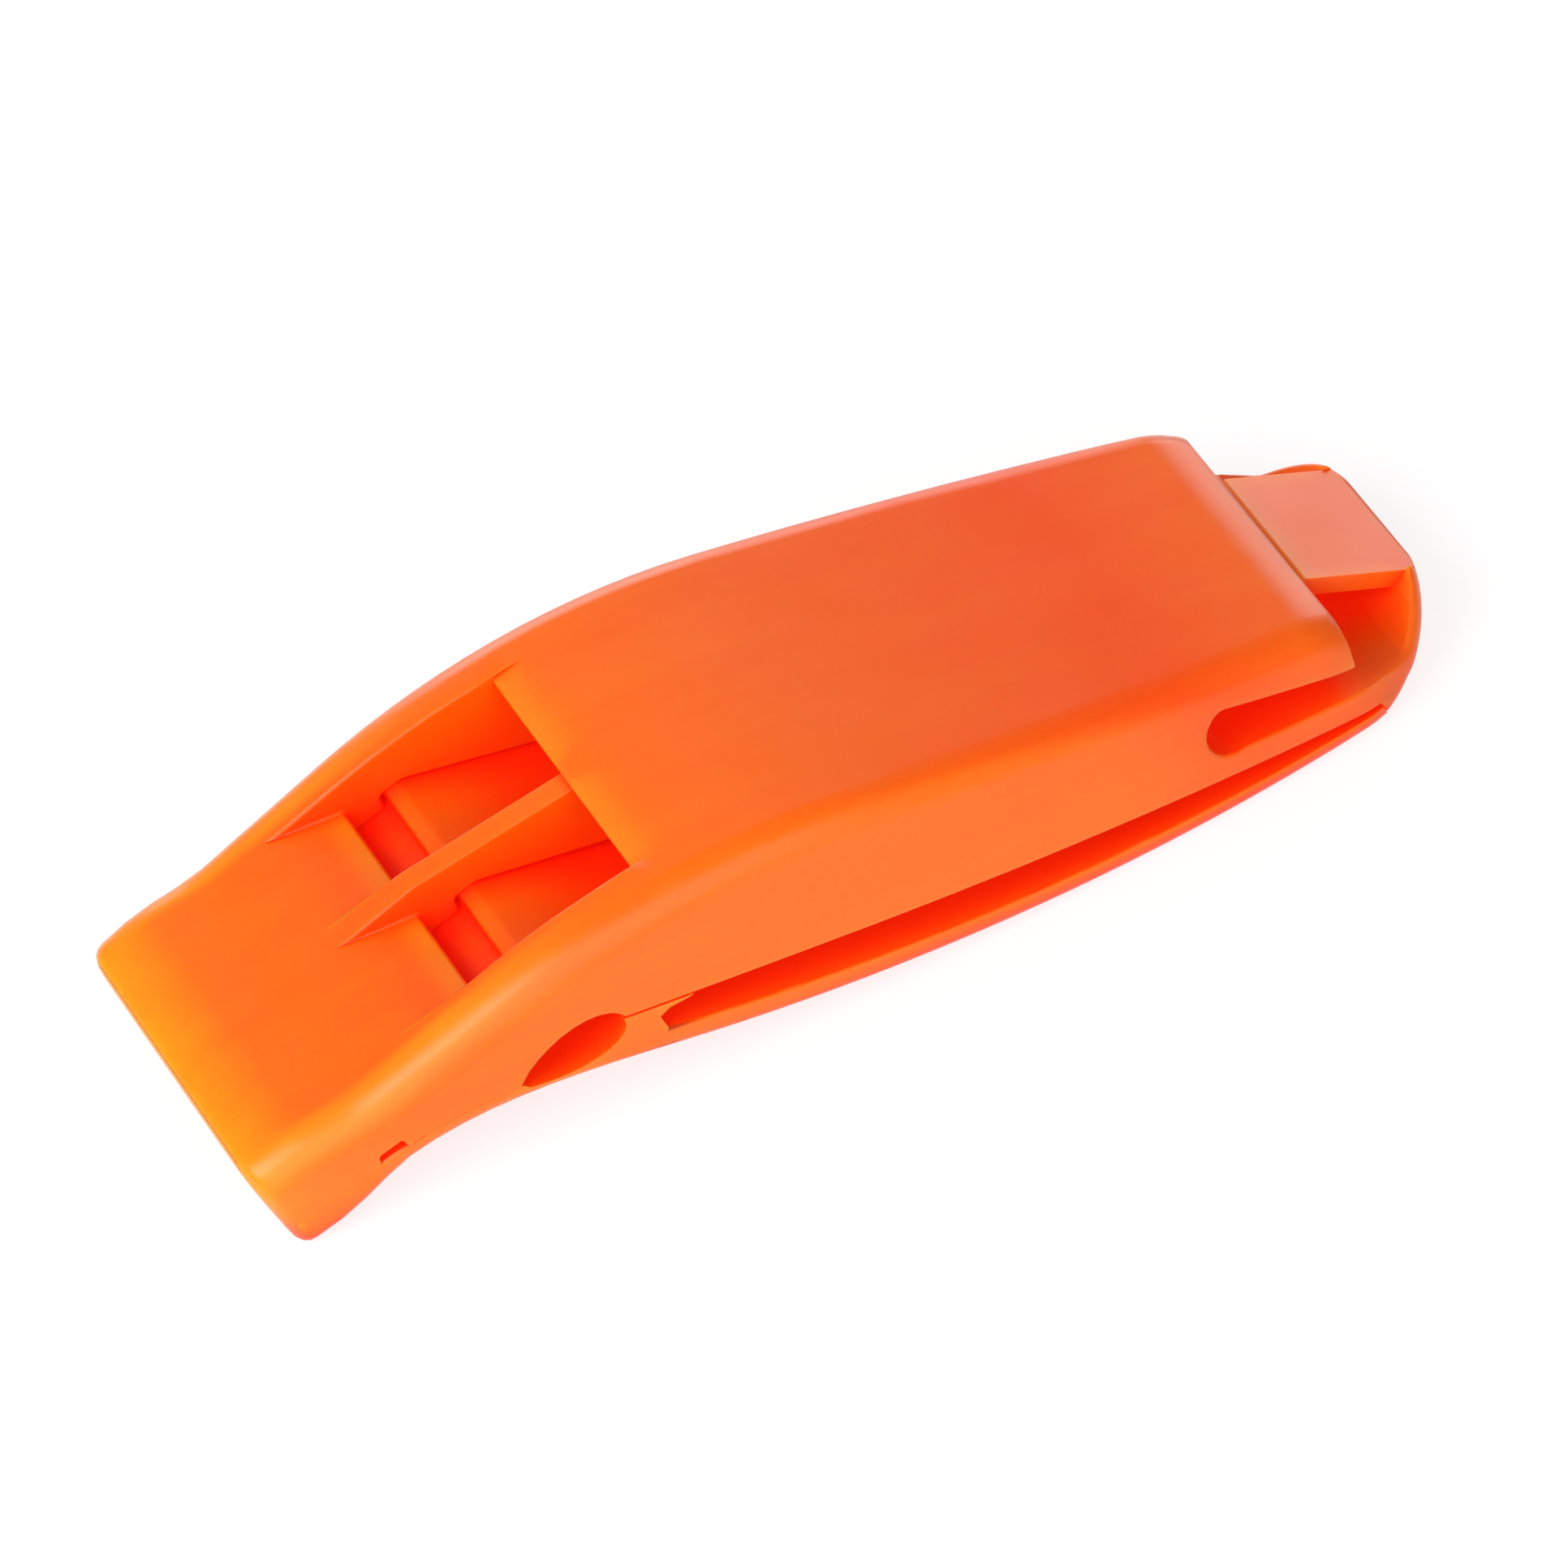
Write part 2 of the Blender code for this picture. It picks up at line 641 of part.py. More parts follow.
def chamber_floor(frame):
    """Flat plate that closes both chambers from below."""
    sections = []
    for x in along(INSERT_END, FLOOR_END - SEAM, LINE_STEPS):
        half = half_width(x) - SEAT_WALL - SEAM
        sections.append(square_section(x, -half, half, floor_line(x), inner_floor(x)))
    return loft("chamber_floor", sections, frame)


def clip_base(frame, slot):
    """Lower strip: lower lip, the bridge under the small slot and the post of the clip."""
    base = outer_form("clip_base", frame)
    fillet_end = CLIP_ROOT + POST_FILLET
    outline = [(x, parting_line(x) - SEAM / 2) for x in along(-OVERSHOOT, SLOT_POINT, LINE_STEPS)]
    outline += [(x, floor_line(x) - SEAM) for x in (SLOT_END, fillet_end)]
    for angle in along(0, math.pi / 2, CORNER_STEPS + 1)[1:]:
        x = fillet_end - POST_FILLET * math.sin(angle)
        fall = clip_gap(CLIP_ROOT) * POST_FILLET_SHARE * (1 - math.cos(angle))
        outline.append((x, floor_line(x) - SEAM - fall))
    outline += [(CLIP_ROOT, floor_line(NOSE)), (-OVERSHOOT, floor_line(NOSE))]
    shape_with(base, prism("base_region", outline, -BODY_WIDTH, BODY_WIDTH, frame), "INTERSECT")
    shape_with(base, slot, "DIFFERENCE")
    return base


def clip_arm(frame, hinge):
    """Sprung arm of the belt clip, hung on the hinge empty."""
    arm = outer_form("clip_arm", hinge)
    arm.data.transform(Matrix.Translation(-hinge.location))
    first = CLIP_ROOT + HINGE_GAP
    outline = [(x, clip_top(x)) for x in along(first, CLIP_TIP, FINE_STEPS)]
    outline += [(CLIP_TIP, floor_line(NOSE)), (first, floor_line(NOSE))]
    shape_with(arm, prism("arm_region", outline, -BODY_WIDTH, BODY_WIDTH, frame), "INTERSECT")
    return arm


def main():
    """Builds the whistle at rest."""
    for old in list(bpy.data.objects):
        bpy.data.objects.remove(old)
    tip, shift = resting_place()
    frame = empty("resting_frame", None, shift)
    frame.rotation_euler = (0, -tip, 0)
    hinge_height = (clip_top(CLIP_ROOT) + clip_under(CLIP_ROOT)) / 2
    hinge = empty("clip_hinge", frame, (CLIP_ROOT, 0, hinge_height))
    slot = small_slot(frame)
    finishes = {
        body_shell(frame, slot): plastic("body_plastic", ORANGE, GLOSS),
        windway_insert(frame, slot): plastic("insert_plastic", DEEP_ORANGE, SATIN),
        chamber_floor(frame): plastic("floor_plastic", DEEP_ORANGE, SATIN),
        clip_base(frame, slot): plastic("base_plastic", ORANGE, GLOSS),
        clip_arm(frame, hinge): plastic("clip_plastic", ORANGE, GLOSS),
    }
    for piece, finish in finishes.items():
        piece.data.materials.append(finish)
        piece.data.shade_smooth()
        piece.data.set_sharp_from_angle(angle=SHARP_EDGE)
    bpy.context.view_layer.update()
    middle = (CLIP_ROOT + CHAMBER_END) / 2
    floor_face = frame.matrix_world @ Vector((middle, 0, floor_line(middle)))
    print("hinge at", *(f"{value:.6f}" for value in hinge.matrix_world.translation))
    print("floor face at", *(f"{value:.6f}" for value in floor_face))
    print(f"tipped {math.degrees(tip):.3f} degrees")


main()
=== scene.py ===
"""Looks of the moulded safety whistle: rounded mouldings, orange ABS, studio light and camera.

Sizes are in metres in the shared frame: +X from the lips to the tail, +Y across and +Z up. The
mould's own axes, in which places on the pieces are named in millimetres, lie tipped about Y.
"""

import json
import logging
import math
from collections.abc import Iterator
from contextlib import contextmanager
from dataclasses import dataclass
from enum import Enum

import bmesh
import bpy
from mathutils import Matrix, Vector
from mathutils.bvhtree import BVHTree

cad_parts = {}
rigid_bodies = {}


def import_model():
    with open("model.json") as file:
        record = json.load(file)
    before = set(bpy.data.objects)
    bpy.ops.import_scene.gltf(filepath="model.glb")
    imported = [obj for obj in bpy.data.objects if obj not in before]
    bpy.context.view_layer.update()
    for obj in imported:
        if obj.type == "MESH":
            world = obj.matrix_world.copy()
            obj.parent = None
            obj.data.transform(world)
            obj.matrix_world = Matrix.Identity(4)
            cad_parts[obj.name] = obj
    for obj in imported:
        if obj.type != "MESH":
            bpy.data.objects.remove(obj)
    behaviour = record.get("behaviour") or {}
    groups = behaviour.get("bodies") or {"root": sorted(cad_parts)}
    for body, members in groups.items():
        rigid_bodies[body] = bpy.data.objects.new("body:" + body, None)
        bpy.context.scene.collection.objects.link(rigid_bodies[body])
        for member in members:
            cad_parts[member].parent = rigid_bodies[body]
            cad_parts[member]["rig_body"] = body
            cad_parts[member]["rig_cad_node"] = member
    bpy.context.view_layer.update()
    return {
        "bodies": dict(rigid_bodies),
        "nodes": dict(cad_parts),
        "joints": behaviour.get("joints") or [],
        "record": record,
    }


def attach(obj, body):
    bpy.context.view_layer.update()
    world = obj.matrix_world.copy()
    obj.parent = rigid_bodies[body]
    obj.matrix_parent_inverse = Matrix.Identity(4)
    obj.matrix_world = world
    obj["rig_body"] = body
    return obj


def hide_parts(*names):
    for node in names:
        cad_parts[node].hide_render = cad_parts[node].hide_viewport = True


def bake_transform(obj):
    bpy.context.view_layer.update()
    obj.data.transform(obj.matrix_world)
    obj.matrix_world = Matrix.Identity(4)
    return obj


log = logging.getLogger("whistle")

Span = tuple[float, float]
Place = tuple[float, float, float]

MM = 0.001
MOULD_TILT = math.radians(18.53)
MOULD_ORIGIN = (-0.037557, 0.0, 0.005275)
MOULD_FRAME = Matrix.Translation(MOULD_ORIGIN) @ Matrix.Rotation(-MOULD_TILT, 4, "Y")
TO_MOULD = MOULD_FRAME.inverted()
ALONG = MOULD_FRAME.to_3x3() @ Vector((1, 0, 0))
UPWARD = MOULD_FRAME.to_3x3() @ Vector((0, 0, 1))


class EdgeRound(Enum):
    """How far an edge of the tool was eased, as the rounding's width in millimetres."""

    CRISP = 0.0
    SOFT = 0.22

    @property
    def width(self) -> float:
        """Width of the rounding in metres."""
        return self.value * MM


@dataclass(frozen=True)
class Spot:
    """A box in mould millimetres, the same on both sides of the whistle."""

    along: Span
    across: Span
    height: Span

    def holds(self, place: Vector) -> bool:
        """Tells whether a place in the shared frame lies in the box.

        Args:
            place: the place, in metres.

        Returns:
            True where it lies inside, on either side.
        """
        mould = TO_MOULD @ place / MM
        values = (mould.x, abs(mould.y), mould.z)
        spans = (self.along, self.across, self.height)
        return all(low <= value <= high for value, (low, high) in zip(values, spans))


BAR_RIM = Spot((66.4, 71.4), (5.3, 11.0), (-28.0, -22.0))
NOSE_RIM = Spot((69.0, 72.0), (0.0, 11.0), (-27.5, -22.5))
REAR_RIM = Spot((64.8, 65.8), (7.6, 9.2), (-19.8, -18.5))
EYE_RIM = Spot((65.2, 67.2), (8.8, 11.0), (-25.0, -23.4))
LABIUM_RIM = Spot((26.4, 28.6), (8.7, 9.2), (-1.3, 0.1))
INSERT_RIM = Spot((14.5, 16.4), (9.5, 11.0), (-5.6, -4.4))
SLOT_RIM = Spot((14.3, 22.2), (9.0, 13.0), (-8.5, -3.5))
POST_RIM = Spot((22.0, 23.6), (11.5, 12.7), (-9.4, -7.4))
NOTCH = Spot((1.5, 10.5), (9.0, 13.0), (-6.5, -2.0))


def linear(colour: str) -> tuple[float, float, float, float]:
    """Turns an sRGB hex colour into linear light.

    Args:
        colour: a hash sign and six hex digits.

    Returns:
        Red, green, blue and alpha.
    """
    parts = [int(colour[place : place + 2], 16) / 255 for place in (1, 3, 5)]
    light = [part / 12.92 if part <= 0.04045 else ((part + 0.055) / 1.055) ** 2.4 for part in parts]
    return (*light, 1.0)


def metres(span: Span) -> Span:
    """Turns a span in millimetres into metres."""
    return span[0] * MM, span[1] * MM


def add_node(
    tree: bpy.types.NodeTree, kind: str, inputs: dict | None = None, **settings
) -> bpy.types.Node:
    """Adds one shader node.

    Args:
        tree: the node tree.
        kind: the node's type name.
        inputs: input names or numbers, each with a value or with the output to link.
        settings: properties of the node itself.

    Returns:
        The new node.
    """
    node = tree.nodes.new(kind)
    for name, value in settings.items():
        setattr(node, name, value)
    for name, value in (inputs or {}).items():
        if isinstance(value, bpy.types.NodeSocket):
            tree.links.new(value, node.inputs[name])
        else:
            node.inputs[name].default_value = value
    return node


def remap(
    tree: bpy.types.NodeTree,
    value: bpy.types.NodeSocket,
    source: Span,
    target: Span = (0.0, 1.0),
    smooth: bool = True,
) -> bpy.types.NodeSocket:
    """Carries a value from one span to another and holds it there.

    Args:
        tree: the node tree.
        value: the output to carry over.
        source: the span that it has.
        target: the span that it gets.
        smooth: whether it eases in and out.

    Returns:
        The new value's output.
    """
    node = add_node(
        tree,
        "ShaderNodeMapRange",
        {
            "Value": value,
            "From Min": source[0],
            "From Max": source[1],
            "To Min": target[0],
            "To Max": target[1],
        },
        interpolation_type="SMOOTHSTEP" if smooth else "LINEAR",
    )
    return node.outputs["Result"]


def calculate(
    tree: bpy.types.NodeTree, operation: str, *values: bpy.types.NodeSocket | float
) -> bpy.types.NodeSocket:
    """Adds one sum.

    Args:
        tree: the node tree.
        operation: the math node's name for it.
        values: numbers or outputs to work on.

    Returns:
        The result's output.
    """
    return add_node(tree, "ShaderNodeMath", dict(enumerate(values)), operation=operation).outputs["Value"]


def tint(
    tree: bpy.types.NodeTree, share: bpy.types.NodeSocket, under: bpy.types.NodeSocket, over: str
) -> bpy.types.NodeSocket:
    """Lays one colour over another.

    Args:
        tree: the node tree.
        share: how much of the upper colour shows.
        under: the lower colour's output.
        over: the upper colour.

    Returns:
        The mixed colour's output.
    """
    node = add_node(tree, "ShaderNodeMix", {0: share, 6: under, 7: linear(over)}, data_type="RGBA")
    return node.outputs[2]


@dataclass(frozen=True)
class MouldedPlastic:
    """Injection-moulded ABS: an even gloss with faint orange peel over a slightly cloudy body.

    Light that enters comes out redder from recesses and yellower at thin edges. The colour paints
    this light and shade in: painted shade and a painted red glow in recesses, painted amber light
    at thin edges, a painted amber highlight beside the windows, painted lighter sides, and a run
    from lip to tail with painted light at the lips and painted shade toward the tail.
    """

    name: str
    # The orange with painted light along it: lighter and amber at the lips, darker toward the tail.
    colour_and_light_run: tuple[tuple[float, str], ...]
    # Lighter orange painted on the sides as painted light from the front and the white floor.
    side: str
    # Amber for painted light: the highlight beside the windows and the light at thin edges.
    thin: str
    # Dark red: painted shade in recesses and their painted glow, and also the flow streaks' colour.
    deep: str
    ior: float = 1.53
    specular: float = 0.34
    roughness: Span = (0.28, 0.34)
    patch_mm: float = 4.0
    patch_detail: float = 4.0
    patch_range: Span = (0.3, 0.7)
    peel_mm: float = 1.5
    peel_detail: float = 2.0
    peel_depth_mm: float = 0.03
    peel_strength: float = 0.12
    streak_mm: Span = (26.0, 2.4)
    streak_detail: float = 3.0
    streak_range: Span = (0.35, 0.75)
    streak_share: float = 0.16
    occlusion_samples: int = 8
    # Reach and spread of the painted shade and painted glow in recesses.
    recess_shade_mm: float = 6.2
    recess_shade_range: Span = (0.30, 0.88)
    edge_glow_mm: float = 1.4
    edge_glow_range: Span = (0.15, 0.7)
    edge_glow_share: float = 0.45
    lit_side_mm: Span = (11.0, 11.9)
    # Where the painted amber highlight along the ridge beside the windows lies, and how strong it is.
    ridge_highlight_mm: Span = (9.0, 10.0)
    ridge_highlight_middle_mm: float = -29.0
    ridge_highlight_reach_mm: Span = (3.0, 17.0)
    ridge_highlight_share: float = 0.7
    scatter: float = 0.5
    scatter_mm: float = 2.4
    scatter_spread: Place = (1.0, 0.22, 0.08)
    # Strength of the painted dark red glow in recesses, which are no lamp.
    painted_recess_glow: float = 0.11

    def recess(self, tree: bpy.types.NodeTree) -> bpy.types.NodeSocket:
        """Measures how deep a place lies in a slot or window, which sets the painted shade and the
        painted glow there.

        Args:
            tree: the material's nodes.

        Returns:
            The output that is 0 in the open and 1 deep inside.
        """
        open_sky = add_node(
            tree,
            "ShaderNodeAmbientOcclusion",
            {"Distance": self.recess_shade_mm * MM},
            samples=self.occlusion_samples,
        )
        return remap(tree, open_sky.outputs["AO"], self.recess_shade_range, (1.0, 0.0))

    def edges(self, tree: bpy.types.NodeTree) -> bpy.types.NodeSocket:
        """Marks thin edges, where the wall has another surface close behind, to paint amber light in them
        as if it shone through.

        Args:
            tree: the material's nodes.

        Returns:
            The output that is 0 on thick walls and the painted edge light's share on thin ones.
        """
        wall = add_node(
            tree,
            "ShaderNodeAmbientOcclusion",
            {"Distance": self.edge_glow_mm * MM},
            samples=self.occlusion_samples,
            inside=True,
            only_local=True,
        )
        return remap(tree, wall.outputs["AO"], self.edge_glow_range, (self.edge_glow_share, 0.0))

    def rims(
        self, tree: bpy.types.NodeTree, along: bpy.types.NodeSocket, across: bpy.types.NodeSocket
    ) -> bpy.types.NodeSocket:
        """Marks the thin strips beside the windows, where an amber highlight along the ridge is painted.

        Args:
            tree: the material's nodes.
            along: the place from lip to tail.
            across: the distance from the middle plane.

        Returns:
            The output that is 0 elsewhere and the painted highlight's share on the strips.
        """
        away = calculate(tree, "ABSOLUTE", calculate(tree, "SUBTRACT", along, self.ridge_highlight_middle_mm * MM))
        reach = remap(tree, away, metres(self.ridge_highlight_reach_mm), (self.ridge_highlight_share, 0.0))
        return calculate(tree, "MULTIPLY", reach, remap(tree, across, metres(self.ridge_highlight_mm)))

    def streaks(self, tree: bpy.types.NodeTree, place: bpy.types.NodeSocket) -> bpy.types.NodeSocket:
        """Draws the faint streaks that the plastic left as it flowed along the mould.

        Args:
            tree: the material's nodes.
            place: object coordinates.

        Returns:
            The output that is 0 between the streaks and their share on them.
        """
        length, width = metres(self.streak_mm)
        drawn = add_node(
            tree, "ShaderNodeMapping", {"Vector": place, "Scale": (1 / length, 1 / width, 1 / width)}
        )
        streak = add_node(
            tree,
            "ShaderNodeTexNoise",
            {"Vector": drawn.outputs["Vector"], "Scale": 1.0, "Detail": self.streak_detail},
        )
        return remap(tree, streak.outputs["Fac"], self.streak_range, (0.0, self.streak_share), smooth=False)

    def run(self, tree: bpy.types.NodeTree, along: bpy.types.NodeSocket) -> bpy.types.NodeSocket:
        """Builds the colour's run from lip to tail, with painted light in it: amber and lighter at the
        lips, darker toward the tail.

        Args:
            tree: the material's nodes.
            along: the place from lip to tail.

        Returns:
            The colour output.
        """
        (first, start), *between, (last, end) = self.colour_and_light_run
        share = remap(tree, along, metres((first, last)), smooth=False)
        ramp = add_node(tree, "ShaderNodeValToRGB", {"Fac": share})
        steps = ramp.color_ramp.elements
        steps[0].color, steps[1].color = linear(start), linear(end)
        for reach, tone in between:
            steps.new((reach - first) / (last - first)).color = linear(tone)
        return ramp.outputs["Color"]

    def colour(
        self, tree: bpy.types.NodeTree, place: bpy.types.NodeSocket, recess_shade: bpy.types.NodeSocket
    ) -> bpy.types.NodeSocket:
        """Builds the colour: its run from lip to tail with painted light, a painted highlight beside the
        windows, painted lighter sides, flow streaks, painted light at thin edges and painted shade in
        recesses.

        Args:
            tree: the material's nodes.
            place: object coordinates.
            recess_shade: how deep the place lies in a recess, which sets the painted shade.

        Returns:
            The colour output.
        """
        axes = add_node(tree, "ShaderNodeSeparateXYZ", {"Vector": place})
        along = axes.outputs["X"]
        across = calculate(tree, "ABSOLUTE", axes.outputs["Y"])
        tone = self.run(tree, along)
        # Painted highlight: amber on the strips beside the windows.
        tone = tint(tree, self.rims(tree, along, across), tone, self.thin)
        # Painted light: the sides turn a lighter orange.
        tone = tint(tree, remap(tree, across, metres(self.lit_side_mm)), tone, self.side)
        tone = tint(tree, self.streaks(tree, place), tone, self.deep)
        # Painted light: thin edges turn amber as if light shone through them.
        tone = tint(tree, self.edges(tree), tone, self.thin)
        # Painted shade: recesses turn dark red.
        return tint(tree, recess_shade, tone, self.deep)

    def gloss(self, tree: bpy.types.NodeTree, place: bpy.types.NodeSocket) -> bpy.types.NodeSocket:
        """Builds the roughness, which drifts a little in soft patches.

        Args:
            tree: the material's nodes.
            place: object coordinates.

        Returns:
            The roughness output.
        """
        patch = add_node(
            tree,
            "ShaderNodeTexNoise",
            {"Vector": place, "Scale": 1 / (self.patch_mm * MM), "Detail": self.patch_detail},
        )
        return remap(tree, patch.outputs["Fac"], self.patch_range, self.roughness, smooth=False)

    def peel(self, tree: bpy.types.NodeTree, place: bpy.types.NodeSocket) -> bpy.types.NodeSocket:
        """Builds the orange peel.

        Args:
            tree: the material's nodes.
            place: object coordinates.

        Returns:
            The normal output.
        """
        waves = add_node(
            tree,
            "ShaderNodeTexNoise",
            {"Vector": place, "Scale": 1 / (self.peel_mm * MM), "Detail": self.peel_detail},
        )
        bump = add_node(
            tree,
            "ShaderNodeBump",
            {
                "Strength": self.peel_strength,
                "Distance": self.peel_depth_mm * MM,
                "Height": waves.outputs["Fac"],
            },
        )
        return bump.outputs["Normal"]

    def material(self) -> bpy.types.Material:
        """Builds the node material.

        Returns:
            The finished material.
        """
        made = bpy.data.materials.new(self.name)
        made.use_nodes = True
        tree = made.node_tree
        shader = tree.nodes["Principled BSDF"]
        place = add_node(tree, "ShaderNodeTexCoord").outputs["Object"]
        recess_shade = self.recess(tree)
        linked = {
            "Base Color": self.colour(tree, place, recess_shade),
            "Roughness": self.gloss(tree, place),
            "Normal": self.peel(tree, place),
            # Painted glow: recesses give off a faint dark red light.
            "Emission Strength": calculate(tree, "MULTIPLY", recess_shade, self.painted_recess_glow),
        }
        for name, output in linked.items():
            tree.links.new(output, shader.inputs[name])
        even = {
            "Emission Color": linear(self.deep),
            "IOR": self.ior,
            "Specular IOR Level": self.specular,
            "Subsurface Weight": self.scatter,
            "Subsurface Radius": self.scatter_spread,
            "Subsurface Scale": self.scatter_mm * MM,
        }
        for name, value in even.items():
            shader.inputs[name].default_value = value
        return made


# Gives the upper moulding a glossy orange, with painted amber light at the thin lips, a painted
# lighter band at the labium, painted shade past the windows and painted dark red shade inside the
# windows.
UPPER_ABS = MouldedPlastic(
    name="moulded_abs_orange",
    colour_and_light_run=(
        (-37.7, "#FF9A06"),
        (-33.8, "#FF7006"),
        (-24.0, "#FF6204"),
        (-10.5, "#FF7004"),
        (20.0, "#FF5602"),
        (28.0, "#FF6804"),
        (37.7, "#FF6404"),
    ),
    side="#FF7406",
    thin="#FF9810",
    deep="#FA3002",
)

# Gives the clip the same orange with a quieter run of painted light, amber at the lips, since its
# underside shows all of it at once.
CLIP_ABS = MouldedPlastic(
    name="moulded_abs_clip",
    colour_and_light_run=((-37.7, "#FF9A06"), (-33.8, "#FF7206"), (-5.0, "#FF6C04"), (37.7, "#FF6804")),
    side="#FF7406",
    thin="#FF9810",
    deep="#FA3404",
)

# Gives the inner pieces a redder, darker orange as painted shade, since they are lit only by what
# comes through the windows.
INNER_SHADED_ABS = MouldedPlastic(
    name="moulded_abs_inner",
    colour_and_light_run=((-37.7, "#FF7806"), (-19.0, "#FF6A06"), (-14.0, "#FF5404"), (37.7, "#FF5004")),
    side="#FF5C04",
    thin="#FF6206",
    deep="#F61E02",
    recess_shade_range=(0.38, 0.90),
)


def only(piece: bpy.types.Object) -> None:
    """Selects one object alone and makes it the active one.

    Args:
        piece: the object.
    """
    bpy.ops.object.select_all(action="DESELECT")
    piece.hide_set(False)
    piece.select_set(True)
    bpy.context.view_layer.objects.active = piece


@contextmanager
def editing(piece: bpy.types.Object) -> Iterator[bmesh.types.BMesh]:
    """Opens a piece in edit mode with nothing selected, and closes it again.

    Args:
        piece: the mesh object.

    Yields:
        Its edit mesh.
    """
    only(piece)
    bpy.ops.object.mode_set(mode="EDIT")
    bpy.ops.mesh.select_mode(type="FACE")
    bpy.ops.mesh.select_all(action="DESELECT")
    yield bmesh.from_edit_mesh(piece.data)
    bpy.ops.object.mode_set(mode="OBJECT")


def surface(solid: bpy.types.Object) -> BVHTree:
    """Makes a search tree of a CAD solid's faces."""
    corners = [vert.co for vert in solid.data.vertices]
    return BVHTree.FromPolygons(corners, [face.vertices for face in solid.data.polygons])


@dataclass
class Moulding:
    """A moulded piece that stands in for one CAD solid, with its edges rounded."""

    node: str
    name: str
    body: str
    slot: str
    finish: bpy.types.Material
    crisp_spots: tuple[Spot, ...] = ()
    drawn_spots: tuple[Spot, ...] = ()
    mates: tuple[str, ...] = ()
    seats: tuple[str, ...] = ()
    rounding_strips: int = 3
    room_share: float = 0.42
    weld: float = 0.03 * MM
    flat: float = math.radians(0.4)
    sharp: float = math.radians(28)
    crease: float = math.radians(32)
    same_line: float = math.cos(math.radians(25))
    flush: float = 0.45 * MM
    facing: float = 0.5
    cad_gap: float = 0.40 * MM
    seam: float = 0.01 * MM

    def clean(self, piece: bpy.types.Object) -> None:
        """Welds loose triangles and clears the lines across flat faces.

        Args:
            piece: the mesh object.
        """
        with editing(piece):
            bpy.ops.mesh.select_all(action="SELECT")
            bpy.ops.mesh.remove_doubles(threshold=self.weld)
            bpy.ops.mesh.dissolve_limited(angle_limit=self.flat)

    def copy(self, frame: dict, node: str) -> bpy.types.Object:
        """Copies a CAD solid and cleans the copy.

        Args:
            node: the CAD node to copy.

        Returns:
            The copy, at the origin.
        """
        only(frame["nodes"][node])
        bpy.ops.object.duplicate()
        piece = bpy.context.view_layer.objects.active
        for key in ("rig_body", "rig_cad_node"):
            if key in piece:
                del piece[key]
        piece.parent = None
        piece.data.materials.clear()
        self.clean(piece)
        return piece

    def room(self, edge: bmesh.types.BMEdge) -> float:
        """Finds how wide an edge may be rounded before it meets its neighbours.

        Args:
            edge: the edge to round.

        Returns:
            A share of the shortest edge that meets it at an angle.
        """
        line = (edge.verts[1].co - edge.verts[0].co).normalized()
        shortest = math.inf
        for vert in edge.verts:
            for other in vert.link_edges:
                run = other.other_vert(vert).co - vert.co
                if other is not edge and abs(run.normalized().dot(line)) < self.same_line:
                    shortest = min(shortest, run.length)
        return shortest * self.room_share

    def easing(self, edge: bmesh.types.BMEdge, mates: list[BVHTree]) -> EdgeRound:
        """Chooses an edge's rounding: none in a marked spot or along a flush joint.

        Args:
            edge: the edge to judge.
            mates: the mouldings that this one meets flush.

        Returns:
            The rounding that the edge gets where it has room.
        """
        ends = [vert.co for vert in edge.verts]
        middle = (ends[0] + ends[1]) / 2
        marked = any(spot.holds(middle) for spot in self.crisp_spots)
        if marked or any(all(mate.find_nearest(end)[3] < self.flush for end in ends) for mate in mates):
            return EdgeRound.CRISP
        return EdgeRound.SOFT

    def round_edges(self, piece: bpy.types.Object, frame: dict) -> None:
        """Rounds the sharp edges, each as wide as its neighbours leave room for.

        Args:
            piece: the welded copy.
        """
        widest = EdgeRound.SOFT.width
        mates = [surface(frame["nodes"][mate]) for mate in self.mates]
        shares = {}
        with editing(piece) as mesh:
            for edge in mesh.edges:
                if edge.is_manifold and edge.calc_face_angle(0) >= self.sharp:
                    width = min(self.easing(edge, mates).width, self.room(edge))
                    shares[edge.index] = width / widest
        weights = piece.data.attributes.new("bevel_weight_edge", "FLOAT", "EDGE")
        for index, share in shares.items():
            weights.data[index].value = share
        only(piece)
        step = piece.modifiers.new("rounding", "BEVEL")
        step.limit_method = "WEIGHT"
        step.width = widest
        step.segments = self.rounding_strips
        step.use_clamp_overlap = False
        step.miter_outer = "MITER_ARC"
        bpy.ops.object.modifier_apply(modifier=step.name)

    def dress(self, piece: bpy.types.Object) -> None:
        """Names the piece, shades it so that its broad faces lie flat and gives it its plastic.

        Args:
            piece: the rounded copy.
        """
        piece.name = piece.data.name = self.name
        only(piece)
        bpy.ops.object.shade_smooth_by_angle(angle=self.crease)
        step = piece.modifiers.new("flat_faces", "WEIGHTED_NORMAL")
        step.keep_sharp = True
        bpy.ops.object.modifier_apply(modifier=step.name)
        piece.data.materials.append(self.finish)

    def close_joint(self, piece: bpy.types.Object, mate: bpy.types.Object, way: Vector) -> None:
        """Moves the rims that meet a welded neighbour up to it.

        Args:
            piece: the copy.
            mate: the neighbour's CAD solid.
            way: the direction in which the neighbour lies.
        """
        near = surface(mate)
        with editing(piece) as mesh:
            faces = [face for face in mesh.faces if face.normal.dot(way) > self.facing]
            for vert in {vert for face in faces for vert in face.verts}:
                gap = near.find_nearest(vert.co)[3]
                if gap < self.flush or any(spot.holds(vert.co) for spot in self.drawn_spots):
                    vert.co += way * (min(gap, self.cad_gap) - self.seam)
            bmesh.update_edit_mesh(piece.data)

